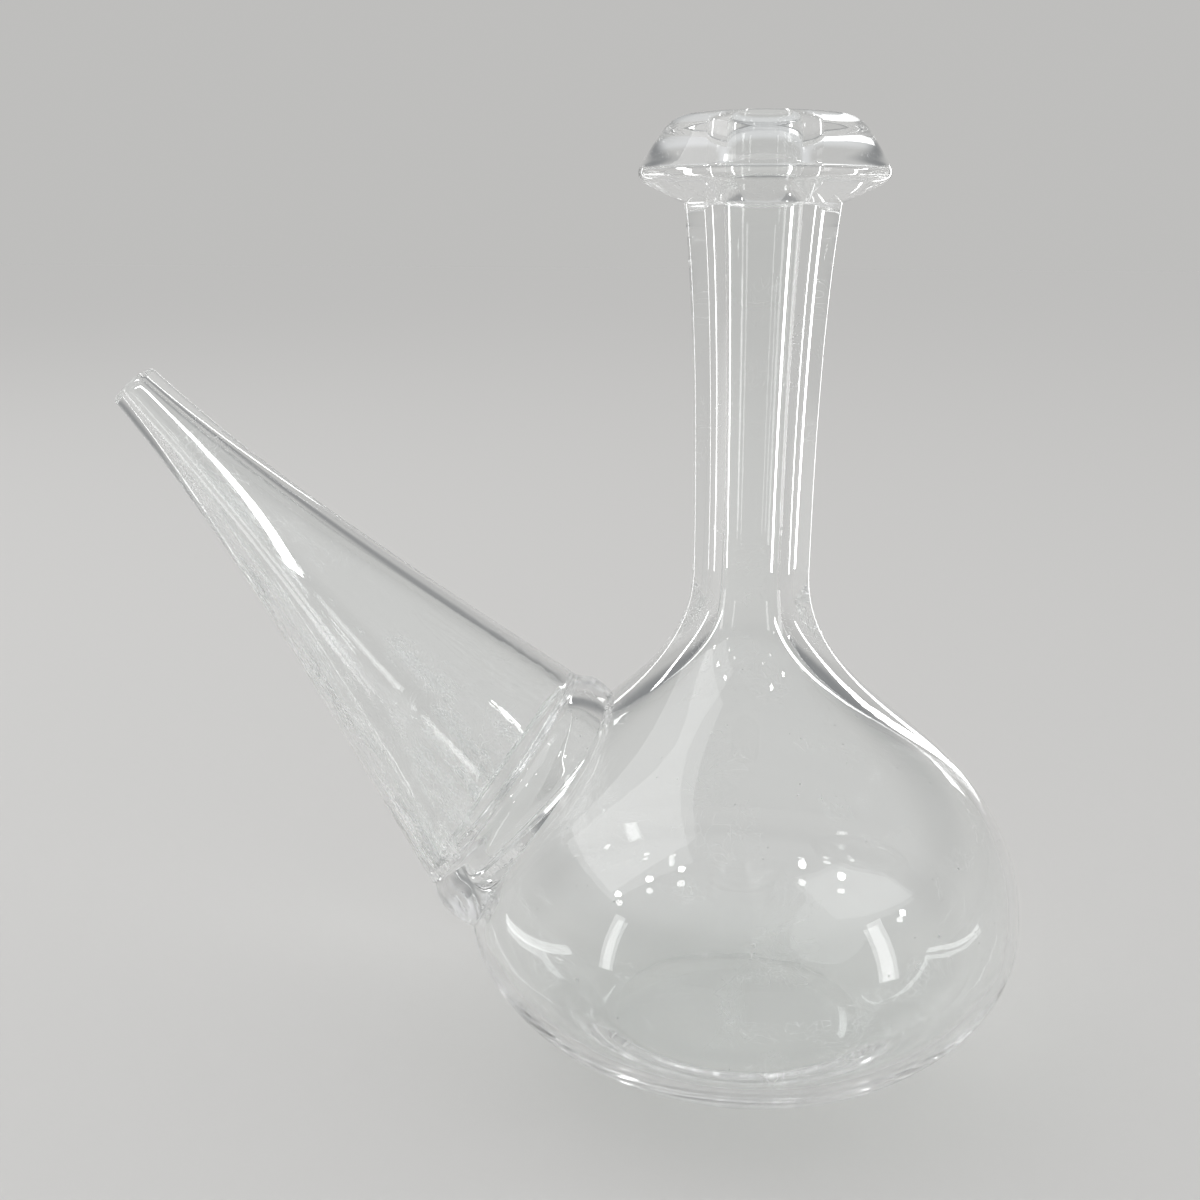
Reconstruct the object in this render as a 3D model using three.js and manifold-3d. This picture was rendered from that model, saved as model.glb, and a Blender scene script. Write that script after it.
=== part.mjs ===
// Glass porron: a blown pourer with a flattened belly, a slender thick-walled neck,
// a heavy lip and one straight tapering spout fused to the belly by a thick collar.
// Units are millimetres, +Z is up and the spout leans towards -X.
// The origin is the centre of the flat base that the porron stands on.
import * as THREE from 'three';
import { mergeVertices } from 'three/addons/utils/BufferGeometryUtils.js';
import Module from 'manifold-3d';

const wasm = await Module();
wasm.setup();

// Gap left where two pieces of glass meet.
const SEAM = 0.3;

// Belly: an ellipse of this drop below its widest ring, which a flat base cuts off.
const BELLY_RADIUS = 76.2;
const BELLY_HEIGHT = 41.6;
const BELLY_DROP = 44.8;

// Heel: the belly turns into the flat base, and into the floor inside, over this height, and the
// flat ends this far inside the corner that the two would make.
const HEEL_HEIGHT = 14;
const HEEL_ROUNDING = 5.5;

// Shoulder: its height, and the lengths over which it keeps the belly's and the neck's direction.
const SHOULDER_HEIGHT = 95;
const SHOULDER_LOW_HOLD = 48.6;
const SHOULDER_HIGH_HOLD = 39.5;

// Neck: narrowest at its waist, flaring slightly up to the lip.
const NECK_LENGTH = 94.3;
const WAIST_RADIUS = 15.6;
const NECK_TOP_RADIUS = 19.7;
const NECK_STRAIGHT = 62;

// Glass thickness and the bore of the neck.
const BELLY_WALL = 3.1;
const HEEL_WALL = 4.3;
const FLOOR_THICKNESS = 5.5;
const WAIST_BORE_RADIUS = 7.4;
const NECK_TOP_BORE_RADIUS = 9.7;

// Lip: a heavy ring laid round the neck's end, with a foot that stands out a little past the neck.
const LIP_HEIGHT = 20.4;
const LIP_FOOT = 0.3;
const LIP_OVERHANG = 12.8;
const LIP_EQUATOR_RISE = 5.7;
const LIP_EQUATOR_ROUNDING = 4;
const LIP_CROWN_BREADTH = 13.3;
const LIP_CROWN_ROUNDING = 5;
const LIP_MOUTH_ROUNDING = 2;

// Spout: its axis leaves the belly's surface at the seat, this far above the widest ring.
const SEAT_RISE = 32.3;
const SPOUT_ELEVATION = THREE.MathUtils.degToRad(46.7);
const SPOUT_LENGTH = 150.4;
const SPOUT_ROOT_RADIUS = 35.3;
const SPOUT_ROOT_TAPER = 0.23;
const SPOUT_TIP_RADIUS = 6.8;
const SPOUT_TIP_TAPER = 0.067;
const SPOUT_ROOT_WALL = 3.8;
const SPOUT_TIP_BORE_RADIUS = 2.8;

// Collar: a bead that carries the spout. Its face is turned down a little from the belly's surface,
// and the passage through it dips below that.
const COLLAR_CANT = THREE.MathUtils.degToRad(3.1);
const COLLAR_FACE_RISE = 2.3;
const COLLAR_FACE_STEP = 0.6;
const COLLAR_BULGE = 3.3;
const COLLAR_BULGE_DEPTH = 9;
const COLLAR_UNDERCUT = 6;
const COLLAR_DEPTH = 27;
const COLLAR_SAG = 1.3;
const COLLAR_SAG_SLOPE = 0.15;
const COLLAR_BREADTH = 10.8;
const PASSAGE_DIP = THREE.MathUtils.degToRad(10);
const PASSAGE_LENGTH = 90;

// Facets round each turned piece.
const VESSEL_SIDES = 60;
const SPOUT_SIDES = 48;

// Heights that follow from the sizes above.
const WAIST_HEIGHT = BELLY_HEIGHT + SHOULDER_HEIGHT;
const NECK_TOP_HEIGHT = WAIST_HEIGHT + NECK_LENGTH;
const SEAT_HEIGHT = BELLY_HEIGHT + SEAT_RISE;

const point = (radius, height) => new THREE.Vector2(radius, height);

// Points along one curve of an outline, without its last one, which the next curve starts with.
function along(curve, steps) {
  return curve.getPoints(steps).slice(0, -1);
}

// An outline with each corner given as [radius, height, rounding]; rounding 0 keeps it sharp.
function roundedOutline(corners, steps) {
  const outline = [];
  corners.forEach(([radius, height, rounding], i) => {
    const corner = point(radius, height);
    if (rounding === 0) {
      outline.push(corner);
      return;
    }
    const before = point(...corners.at(i - 1));
    const after = point(...corners[(i + 1) % corners.length]);
    const start = corner.clone().add(before.sub(corner).setLength(rounding));
    const end = corner.clone().add(after.sub(corner).setLength(rounding));
    outline.push(...new THREE.QuadraticBezierCurve(start, corner, end).getPoints(steps));
  });
  return outline;
}

// A turned piece about +Z from an outline of (radius, height) points.
function turned(outline, sides) {
  return new THREE.LatheGeometry(outline, sides).rotateX(Math.PI / 2);
}

// A closed geometry as a solid that can be joined and cut.
function solid(geometry) {
  const bare = geometry.clone();
  bare.deleteAttribute('normal');
  bare.deleteAttribute('uv');
  const merged = mergeVertices(bare, 1e-4);
  return new wasm.Manifold(
    new wasm.Mesh({
      numProp: 3,
      vertProperties: merged.attributes.position.array,
      triVerts: new Uint32Array(merged.index.array),
    }),
  );
}

// A solid back as a geometry for a mesh.
function geometryOf(body) {
  const mesh = body.getMesh();
  const geometry = new THREE.BufferGeometry();
  geometry.setAttribute('position', new THREE.BufferAttribute(mesh.vertProperties, 3));
  geometry.setIndex(new THREE.BufferAttribute(mesh.triVerts, 1));
  geometry.computeVertexNormals();
  return geometry;
}

// A flat floor, its heel and the belly's elliptical wall up to just under the widest ring.
function bowlOutline(radius, drop, floorHeight, steps) {
  const start = -Math.asin((BELLY_HEIGHT - floorHeight - HEEL_HEIGHT) / drop);
  const wall = new THREE.EllipseCurve(0, BELLY_HEIGHT, radius, drop, start, 0);
  const joint = wall.getPoint(0);
  const slope = (-radius * Math.sin(start)) / (drop * Math.cos(start));
  const corner = point(joint.x - HEEL_HEIGHT * slope, floorHeight);
  const edge = point(corner.x - HEEL_ROUNDING, floorHeight);
  const heel = new THREE.QuadraticBezierCurve(edge, corner, joint);
  return [point(0, floorHeight), ...along(heel, steps), ...along(wall, steps)];
}

// The S-shaped shoulder between the widest ring and the waist of the neck.
function shoulderCurve(bellyRadius, waistRadius, waistHeight) {
  return new THREE.CubicBezierCurve(
    point(bellyRadius, BELLY_HEIGHT),
    point(bellyRadius, BELLY_HEIGHT + SHOULDER_LOW_HOLD),
    point(waistRadius, waistHeight - SHOULDER_HIGH_HOLD),
    point(waistRadius, waistHeight),
  );
}

// The neck from its waist to its end, flaring more the higher it goes.
function neckCurve(waistRadius, waistHeight, topRadius) {
  return new THREE.QuadraticBezierCurve(
    point(waistRadius, waistHeight),
    point(waistRadius, waistHeight + NECK_STRAIGHT),
    point(topRadius, NECK_TOP_HEIGHT),
  );
}

// The outside of the vessel, from the centre of its base to the neck's end.
function vesselOutside() {
  return [
    ...bowlOutline(BELLY_RADIUS, BELLY_DROP, 0, 7),
    ...along(shoulderCurve(BELLY_RADIUS, WAIST_RADIUS, WAIST_HEIGHT), 15),
    ...neckCurve(WAIST_RADIUS, WAIST_HEIGHT, NECK_TOP_RADIUS).getPoints(6),
  ];
}

// The inside of the vessel, from the centre of its floor to the neck's end.
function vesselInside() {
  const radius = BELLY_RADIUS - BELLY_WALL;
  const waistHeight = WAIST_HEIGHT - BELLY_WALL;
  return [
    ...bowlOutline(radius, BELLY_DROP - HEEL_WALL, FLOOR_THICKNESS, 6),
    ...along(shoulderCurve(radius, WAIST_BORE_RADIUS, waistHeight), 13),
    ...neckCurve(WAIST_BORE_RADIUS, waistHeight, NECK_TOP_BORE_RADIUS).getPoints(5),
  ];
}

// An outline moved outwards along its own normals.
function swollen(outline, distance) {
  return outline.map((here, i) => {
    const before = outline[Math.max(i - 1, 0)];
    const after = outline[Math.min(i + 1, outline.length - 1)];
    const way = after.clone().sub(before).normalize();
    return point(Math.max(here.x + way.y * distance, 0), here.y - way.x * distance);
  });
}

// Where the spout's axis meets the belly: the radius there, and how far the surface faces upwards.
function seatOnBelly() {
  const bowl = bowlOutline(BELLY_RADIUS, BELLY_DROP, 0, 100);
  const shoulder = shoulderCurve(BELLY_RADIUS, WAIST_RADIUS, WAIST_HEIGHT);
  const outline = [...bowl, ...shoulder.getPoints(200)];
  const above = outline.findIndex((p) => p.y > SEAT_HEIGHT);
  const upper = outline[above];
  const lower = outline[above - 1];
  return {
    radius: THREE.MathUtils.mapLinear(SEAT_HEIGHT, lower.y, upper.y, lower.x, upper.x),
    tilt: Math.atan2(lower.x - upper.x, upper.y - lower.y),
  };
}

const seat = seatOnBelly();
const collarLean = SPOUT_ELEVATION - seat.tilt + COLLAR_CANT;

// The spout's frame: its origin on the belly at the seat, +Z along the spout, +X its upper side.
function spoutFrame() {
  const frame = new THREE.Group();
  frame.position.set(-seat.radius, 0, SEAT_HEIGHT);
  frame.rotation.y = SPOUT_ELEVATION - Math.PI / 2;
  frame.updateMatrixWorld(true);
  return frame;
}

// A geometry made about the middle of the collar's face, turned down by `lean` in the spout's frame.
function leaning(lean, geometry) {
  return geometry.rotateY(-lean).translate(0, 0, COLLAR_FACE_RISE);
}

// A taper from the spout's root to its tip, bellied like drawn glass. It runs on straight below the
// seat, far enough for the collar's leaning face to cut it all round.
function taper(rootRadius, tipRadius, steps) {
  const hold = SPOUT_LENGTH / 3;
  const reach = COLLAR_FACE_STEP + rootRadius * (SPOUT_ROOT_TAPER + Math.abs(Math.tan(collarLean)));
  const curve = new THREE.CubicBezierCurve(
    point(rootRadius, 0),
    point(rootRadius - SPOUT_ROOT_TAPER * hold, hold),
    point(tipRadius + SPOUT_TIP_TAPER * hold, SPOUT_LENGTH - hold),
    point(tipRadius, SPOUT_LENGTH),
  );
  return [point(rootRadius + SPOUT_ROOT_TAPER * reach, -reach), ...curve.getPoints(steps)];
}

// The half-space on the tip side of the collar's face, from half a seam above it.
function tipSide() {
  const reach = 3 * (SPOUT_LENGTH + SPOUT_ROOT_RADIUS);
  const block = new THREE.BoxGeometry(reach, reach, reach).translate(0, 0, (reach + SEAM) / 2);
  return solid(leaning(collarLean, block));
}

// The hole from the vessel through the collar into the spout.
function passage() {
  const radius = SPOUT_ROOT_RADIUS - COLLAR_BREADTH;
  const core = new THREE.CylinderGeometry(radius, radius, PASSAGE_LENGTH, SPOUT_SIDES);
  return solid(leaning(collarLean + PASSAGE_DIP, core.rotateX(Math.PI / 2)));
}

// Blown belly, shoulder and neck in one piece, with the spout's opening cut through its wall.
function vesselGeometry(frame) {
  const wall = solid(turned([...vesselOutside(), ...vesselInside().reverse()], VESSEL_SIDES));
  return geometryOf(wall.subtract(passage().transform(frame.matrixWorld.elements)));
}

// Heavy ring on the neck's end, with a sloping underside, a rounded equator and a rounded mouth.
function lipGeometry() {
  const outline = roundedOutline(
    [
      [NECK_TOP_BORE_RADIUS, 0, 0],
      [NECK_TOP_RADIUS + LIP_FOOT, 0, 0],
      [NECK_TOP_RADIUS + LIP_OVERHANG, LIP_EQUATOR_RISE, LIP_EQUATOR_ROUNDING],
      [NECK_TOP_BORE_RADIUS + LIP_CROWN_BREADTH, LIP_HEIGHT, LIP_CROWN_ROUNDING],
      [NECK_TOP_BORE_RADIUS, LIP_HEIGHT, LIP_MOUTH_ROUNDING],
    ],
    4,
  );
  return turned([...outline, outline[0].clone()], VESSEL_SIDES);
}

// Hollow tapering spout, cut off along the collar's face at its root and open at its tip.
function spoutGeometry() {
  const outside = taper(SPOUT_ROOT_RADIUS, SPOUT_TIP_RADIUS, 13);
  const inside = taper(SPOUT_ROOT_RADIUS - SPOUT_ROOT_WALL, SPOUT_TIP_BORE_RADIUS, 11);
  const outline = [...outside, ...inside.reverse()];
  const tube = solid(turned([...outline, outline[0].clone()], SPOUT_SIDES));
  return geometryOf(tube.intersect(tipSide()));
}

// The collar's bead before it is cut: rounded above and below its widest ring, and sagging with its
// depth below the spout's face.
function beadGeometry() {
  const faceRadius = SPOUT_ROOT_RADIUS + COLLAR_FACE_STEP;
  const widest = point(SPOUT_ROOT_RADIUS + COLLAR_BULGE, -COLLAR_BULGE_DEPTH);
  const under = new THREE.QuadraticBezierCurve(
    point(widest.x - COLLAR_UNDERCUT, -COLLAR_DEPTH),
    point(widest.x, widest.y - COLLAR_UNDERCUT),
    widest,
  );
  const over = new THREE.QuadraticBezierCurve(
    widest,
    point(widest.x, widest.y / 4),
    point(faceRadius, 0),
  );
  const outline = [point(0, -COLLAR_DEPTH), ...along(under, 5), ...over.getPoints(5), point(0, 0)];
  return turned(outline, SPOUT_SIDES)
    .applyMatrix4(new THREE.Matrix4().makeShear(0, 0, 0, 0, COLLAR_SAG_SLOPE, 0))
    .translate(-COLLAR_SAG, 0, -SEAM / 2);
}

// Thick ring between the spout and the belly: it sits on the belly's surface like a saddle, a seam
// above it, and the passage runs through it.
function collarGeometry(frame) {
  const seated = swollen(vesselOutside(), SEAM);
  seated[0].y = -SEAM;
  const vessel = solid(turned([...seated, point(0, NECK_TOP_HEIGHT)], VESSEL_SIDES));
  const toSpout = frame.matrixWorld.clone().invert();
  const ring = solid(leaning(collarLean, beadGeometry()))
    .subtract(passage())
    .subtract(vessel.transform(toSpout.elements));
  return geometryOf(ring);
}

const glass = new THREE.MeshStandardMaterial({
  color: 0xe9efee,
  roughness: 0.04,
  metalness: 0,
  transparent: true,
  opacity: 0.35,
});

function piece(name, geometry) {
  const mesh = new THREE.Mesh(geometry, glass);
  mesh.name = name;
  return mesh;
}

const porron = new THREE.Group();
const spout = spoutFrame();
const lip = piece('lip_ring', lipGeometry());
lip.position.z = NECK_TOP_HEIGHT + SEAM;
spout.add(piece('spout_cone', spoutGeometry()), piece('spout_collar', collarGeometry(spout)));
porron.add(piece('vessel_body', vesselGeometry(spout)), lip, spout);

export default porron;
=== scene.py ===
"""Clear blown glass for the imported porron, with its studio floor, lights and camera."""

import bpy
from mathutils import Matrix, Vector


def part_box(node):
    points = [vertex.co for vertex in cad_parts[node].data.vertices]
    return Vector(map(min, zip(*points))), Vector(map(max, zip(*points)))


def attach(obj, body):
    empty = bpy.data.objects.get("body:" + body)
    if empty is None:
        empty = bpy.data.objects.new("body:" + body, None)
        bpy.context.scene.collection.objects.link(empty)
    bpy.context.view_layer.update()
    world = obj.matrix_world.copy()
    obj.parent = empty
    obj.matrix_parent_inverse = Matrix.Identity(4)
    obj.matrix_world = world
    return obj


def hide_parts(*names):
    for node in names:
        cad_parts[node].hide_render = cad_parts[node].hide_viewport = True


bl_info = {
    "name": "Glass porron",
    "version": (1, 0, 0),
    "blender": (4, 5, 0),
    "location": "3D View > Sidebar > Porron",
    "description": "Makes the porron's pieces in clear blown glass around its packed solids",
    "category": "Object",
}

import math

import bmesh
import bpy
import numpy as np
from bpy.props import FloatProperty, FloatVectorProperty, IntProperty, PointerProperty
from mathutils import Matrix, Vector
from mathutils.kdtree import KDTree

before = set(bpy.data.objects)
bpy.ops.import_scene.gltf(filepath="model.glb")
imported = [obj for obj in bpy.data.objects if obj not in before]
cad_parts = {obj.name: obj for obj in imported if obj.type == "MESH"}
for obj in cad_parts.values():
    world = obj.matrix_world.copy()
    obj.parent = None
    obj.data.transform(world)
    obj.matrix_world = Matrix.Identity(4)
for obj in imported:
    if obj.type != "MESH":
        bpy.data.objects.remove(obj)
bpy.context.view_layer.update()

VESSEL_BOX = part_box("vessel_body")
LIP_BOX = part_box("lip_ring")

BODY = "root"

# The two material slots that every piece of glass has.
CLEAR, FUSED = 0, 1

# The middle of the glass, which lamps are turned to.
AIM = Vector((-0.03, 0, 0.1))

# The middle of the collar's face.
JOINT_MIDDLE = Vector((-0.066, 0, 0.076))

# How far the collar is sunk into the vessel's wall, so that the two share one hidden face.
SUNK = 0.00002

# How far the cutter of the spout's opening reaches past the faces that it cuts.
CLEARANCE = 0.004

# Where the cutter's outer end lies, along the passage from the collar's face.
CUTTER_REACH = 0.08

# How far past the vessel's inner face the rounded rim of the opening runs out.
RIM_LAP = 0.00012

# Bands of the hidden face that collar and vessel share.
SHARED_ROWS = 10

# Lengths under this count as nothing.
TINY = 1e-9

# Points closer than this are merged into one.
MERGED = 1e-7

# How far off a height a flat face may lie and still count as at that height.
LEVEL = 1e-6

# How close to one of the vessel's turned faces a point has to lie to take its normal.
CLOSE = 3e-5

# Edges that turn by more than this stay sharp, in degrees.
VESSEL_SHARP, PIECE_SHARP = 30, 40

# Refraction of glass against air.
GLASS_IOR = 1.5


def length(name, description, default):
    """A size in metres."""
    return FloatProperty(
        name=name, description=description, default=default, unit="LENGTH", precision=5
    )


def angle(name, description, degrees):
    return FloatProperty(
        name=name, description=description, default=math.radians(degrees), subtype="ANGLE"
    )


def number(name, description, default):
    return FloatProperty(name=name, description=description, default=default, precision=4)


def count(name, description, default):
    return IntProperty(name=name, description=description, default=default, min=3)


def colour(name, description, default):
    return FloatVectorProperty(
        name=name, description=description, default=default, subtype="COLOR", size=3
    )


class VesselSizes(bpy.types.PropertyGroup):
    belly_radius: length("Belly radius", "Radius of the widest ring", VESSEL_BOX[1][0])
    belly_height: length("Belly height", "Height of the widest ring", 0.0416)
    belly_drop: length("Belly drop", "Depth of the belly's ellipse below its ring", 0.0448)
    heel_height: length("Heel height", "Height over which the belly turns into the base", 0.014)
    heel_rounding: length("Heel rounding", "Breadth of the heel's easing on the flat", 0.0055)
    floor_rounding: length("Floor rounding", "Breadth of the easing on the inner floor", 0.024)
    shoulder_height: length("Shoulder height", "From the widest ring to the waist", 0.095)
    shoulder_low_hold: length("Lower hold", "How far the shoulder keeps the belly's way", 0.0486)
    shoulder_high_hold: length("Upper hold", "How far it keeps the neck's way", 0.0395)
    neck_top: length("Neck top", "Height of the neck's end", VESSEL_BOX[1][2])
    neck_straight: length("Straight neck", "How far the neck rises before it flares", 0.062)
    waist_radius: length("Waist radius", "Radius at the neck's waist", 0.0156)
    neck_top_radius: length("Neck top radius", "Radius at the neck's end", 0.0197)
    belly_wall: length("Belly wall", "Glass thickness at the widest ring", 0.0031)
    heel_wall: length("Heel wall", "Glass thickness under the belly", 0.0043)
    floor_thickness: length("Floor thickness", "Glass thickness of the floor", 0.0055)
    waist_bore: length("Waist bore", "Radius of the bore at the waist", 0.0074)
    neck_top_bore: length("Neck top bore", "Radius of the bore at the neck's end", 0.0097)
    sides: count("Sides", "Facets round the vessel", 224)


class LipSizes(bpy.types.PropertyGroup):
    top: length("Top", "Height of the lip's crown", LIP_BOX[1][2])
    foot: length("Foot", "How far the foot stands out beyond the neck", 0.0003)
    overhang: length("Overhang", "How far the equator's corner stands out", 0.0128)
    equator_rise: length("Equator rise", "Height of the equator above the seam", 0.006)
    equator_rounding: length("Equator rounding", "Rounding of the equator", 0.004)
    crown_breadth: length("Crown breadth", "From the bore to the crown's outer corner", 0.0133)
    crown_rounding: length("Crown rounding", "Rounding of the crown's outer corner", 0.005)
    mouth_rounding: length("Mouth rounding", "Rounding of the mouth", 0.002)


class SpoutSizes(bpy.types.PropertyGroup):
    seat_rise: length("Seat rise", "Height of the seat above the widest ring", 0.0323)
    elevation: angle("Elevation", "How steeply the spout rises", 46.7)
    length: length("Length", "From the seat to the tip", 0.1504)
    root_radius: length("Root radius", "Outer radius at the seat", 0.0353)
    root_taper: number("Root taper", "Slope of the outside at the root", 0.23)
    tip_radius: length("Tip radius", "Outer radius at the tip", 0.0068)
    tip_taper: number("Tip taper", "Slope of the outside at the tip", 0.067)
    root_wall: length("Root wall", "Glass thickness at the root", 0.0038)
    tip_bore: length("Tip bore", "Radius of the bore at the tip", 0.0028)
    tip_rounding: length("Tip rounding", "Fire polish of the tip's edges", 0.0008)
    root_fillet: length("Root fillet", "Glass that fills the inner corner at the root", 0.003)
    sides: count("Sides", "Facets round spout and collar", 160)


class CollarSizes(bpy.types.PropertyGroup):
    cant: angle("Cant", "How far the face is turned down from the belly's surface", 3.1)
    face_rise: length("Face rise", "From the seat to the middle of the face", 0.0023)
    face_step: length("Face step", "How far the face stands out beyond the spout", 0.0006)
    bulge: length("Bulge", "How far the bead stands out beyond the spout", 0.0033)
    bulge_depth: length("Bulge depth", "Depth of the bead's widest ring", 0.009)
    undercut: length("Undercut", "How far the bead draws in below its widest ring", 0.006)
    depth: length("Depth", "How far the bead reaches below its face", 0.027)
    sag: length("Sag", "How far the bead hangs below the spout's axis", 0.0013)
    sag_slope: number("Sag slope", "How much more it hangs with its depth", 0.15)
    breadth: length("Breadth", "Glass between the passage and the spout's outside", 0.0108)
    dip: angle("Dip", "How far the passage dips below the face's own direction", 10)
    spout_rim: length("Spout rim", "Rounding of the passage's rim in the spout", 0.0026)
    belly_rim: length("Belly rim", "Rounding of the passage's rim in the belly", 0.0018)


class GlassLook(bpy.types.PropertyGroup):
    tint: colour("Tint", "Colour that each face of the glass lets through", (0.982, 0.99, 0.987))
    light_through: colour("Light through", "Lamp light that a wall passes", (0.95, 0.957, 0.953))
    waviness: length("Waviness", "Height of the unevenness from blowing", 0.00022)
    striae: length("Striae", "Height of the rings left by turning", 0.000014)
    peel: length("Peel", "Height of the fine unevenness in its patches", 0.00002)
    ripples: length("Ripples", "Height of the ripples round the spout's joint", 0.00006)
    seeds: count("Seeds", "Small bubbles in the glass", 70)
    seed_radius: length("Seed radius", "Radius of the largest bubble", 0.00035)


class StudioLook(bpy.types.PropertyGroup):
    floor: colour("Floor", "Colour of the floor", (0.65, 0.645, 0.635))
    horizon: colour("Horizon", "Colour of the backdrop at the horizon", (0.519, 0.516, 0.507))
    dusk: colour("Dusk", "Colour of the darker band above the horizon", (0.25, 0.255, 0.26))
    zenith: colour("Zenith", "Colour of the backdrop overhead", (0.68, 0.685, 0.69))
    ambient: number("Ambient", "Strength of the light that comes from all sides", 0.8)


def bezier(points, steps):
    """Points along a Bezier curve of any degree, both ends included."""
    t = np.linspace(0.0, 1.0, steps + 1)[:, None]
    rows = [np.array(p, float)[None, :] for p in points]
    while len(rows) > 1:
        rows = [(1 - t) * a + t * b for a, b in zip(rows[:-1], rows[1:])]
    return rows[0]


def joined(*curves):
    """Curves end to end, each without the first point that it shares with the one before."""
    return np.vstack([curves[0]] + [curve[1:] for curve in curves[1:]])


def unit(rows):
    """The rows of an array, each brought to length 1."""
    return rows / np.linalg.norm(rows, axis=1)[:, None]


def bowl_outline(sizes, radius, drop, floor_height, rounding, steps):
    """Flat floor, heel and elliptical wall up to the widest ring, as (radius, height)."""
    start = -math.asin((sizes.belly_height - floor_height - sizes.heel_height) / drop)
    turn = np.linspace(start, 0, steps + 1)
    wall = np.column_stack([radius * np.cos(turn), sizes.belly_height + drop * np.sin(turn)])
    slope = -radius * math.sin(start) / (drop * math.cos(start))
    corner = (wall[0][0] - sizes.heel_height * slope, floor_height)
    edge = (corner[0] - rounding, floor_height)
    flat_steps = 4
    flat = bezier([(0, floor_height), edge], flat_steps)
    return joined(flat, bezier([edge, corner, wall[0]], steps), wall)


def neck_outline(sizes, belly_radius, waist_radius, waist_height, top_radius, steps):
    """Shoulder and neck from the widest ring up to the neck's end."""
    shoulder = [
        (belly_radius, sizes.belly_height),
        (belly_radius, sizes.belly_height + sizes.shoulder_low_hold),
        (waist_radius, waist_height - sizes.shoulder_high_hold),
        (waist_radius, waist_height),
    ]
    neck = [
        (waist_radius, waist_height),
        (waist_radius, waist_height + sizes.neck_straight),
        (top_radius, sizes.neck_top),
    ]
    return joined(bezier(shoulder, 2 * steps), bezier(neck, steps))


def vessel_outside(sizes, steps):
    radius = sizes.belly_radius
    waist = sizes.belly_height + sizes.shoulder_height
    bowl = bowl_outline(sizes, radius, sizes.belly_drop, 0, sizes.heel_rounding, steps)
    neck = neck_outline(sizes, radius, sizes.waist_radius, waist, sizes.neck_top_radius, steps)
    return joined(bowl, neck)


def vessel_inside(sizes, steps):
    radius = sizes.belly_radius - sizes.belly_wall
    waist = sizes.belly_height + sizes.shoulder_height - sizes.belly_wall
    drop = sizes.belly_drop - sizes.heel_wall
    bowl = bowl_outline(sizes, radius, drop, sizes.floor_thickness, sizes.floor_rounding, steps)
    neck = neck_outline(sizes, radius, sizes.waist_bore, waist, sizes.neck_top_bore, steps)
    return joined(bowl, neck)


def rounded_outline(corners, steps):
    """An outline from [radius, height, rounding] corners; rounding 0 keeps a corner sharp."""
    outline = []
    for i, (radius, height, rounding) in enumerate(corners):
        corner = np.array([radius, height])
        if rounding == 0:
            outline.append(corner[None, :])
            continue
        ends = []
        for other in (corners[i - 1], corners[(i + 1) % len(corners)]):
            way = np.array(other[:2]) - corner
            ends.append(corner + way / np.linalg.norm(way) * rounding)
        outline.append(bezier([ends[0], corner, ends[1]], steps))
    return np.vstack(outline)


class Surface:
    """One turned face of the vessel: its radius at a height, and its normal near a point."""

    def __init__(self, outline, side):
        self.outline = outline
        self.walls = outline[outline[:, 1] > outline[0][1] + TINY]
        way = unit(np.gradient(outline, axis=0))
        self.normals = np.column_stack([way[:, 1], -way[:, 0]]) * side
        self.tree = KDTree(len(outline))
        for i, (radius, height) in enumerate(outline):
            self.tree.insert((radius, 0, height), i)
        self.tree.balance()

    def radius_at(self, height):
        return np.interp(height, self.walls[:, 1], self.walls[:, 0])

    def near(self, point):
        """Distance from a point to the face, and the face's normal there."""
        radius = math.hypot(point[0], point[1])
        here = np.array([radius, point[2]])
        i = self.tree.find((radius, 0, point[2]))[1]
        last = len(self.outline) - 1
        before, after = self.outline[max(i - 1, 0)], self.outline[min(i + 1, last)]
        off = here - self.outline[i]
        j = min(max(i + (1 if np.dot(off, after - before) > 0 else -1), 0), last)
        step = self.outline[j] - self.outline[i]
        share = 0.0
        if j != i:
            share = float(np.clip(np.dot(off, step) / np.dot(step, step), 0, 1))
        away = np.linalg.norm(off - share * step)
        normal = (1 - share) * self.normals[i] + share * self.normals[j]
        if radius < TINY:
            return away, (0, 0, 1 if normal[1] > 0 else -1)
        x, y = point[0] / radius, point[1] / radius
        return away, (normal[0] * x, normal[0] * y, normal[1])


def seat_on_belly(outside, sizes, spout):
    """Radius of the belly at the seat, and how far its surface faces upwards there."""
    height = sizes.belly_height + spout.seat_rise
    above = int(np.argmax(outside[:, 1] > height))
    lower, upper = outside[above - 1], outside[above]
    radius = np.interp(height, [lower[1], upper[1]], [lower[0], upper[0]])
    return float(radius), height, math.atan2(lower[0] - upper[0], upper[1] - lower[1])


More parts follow.
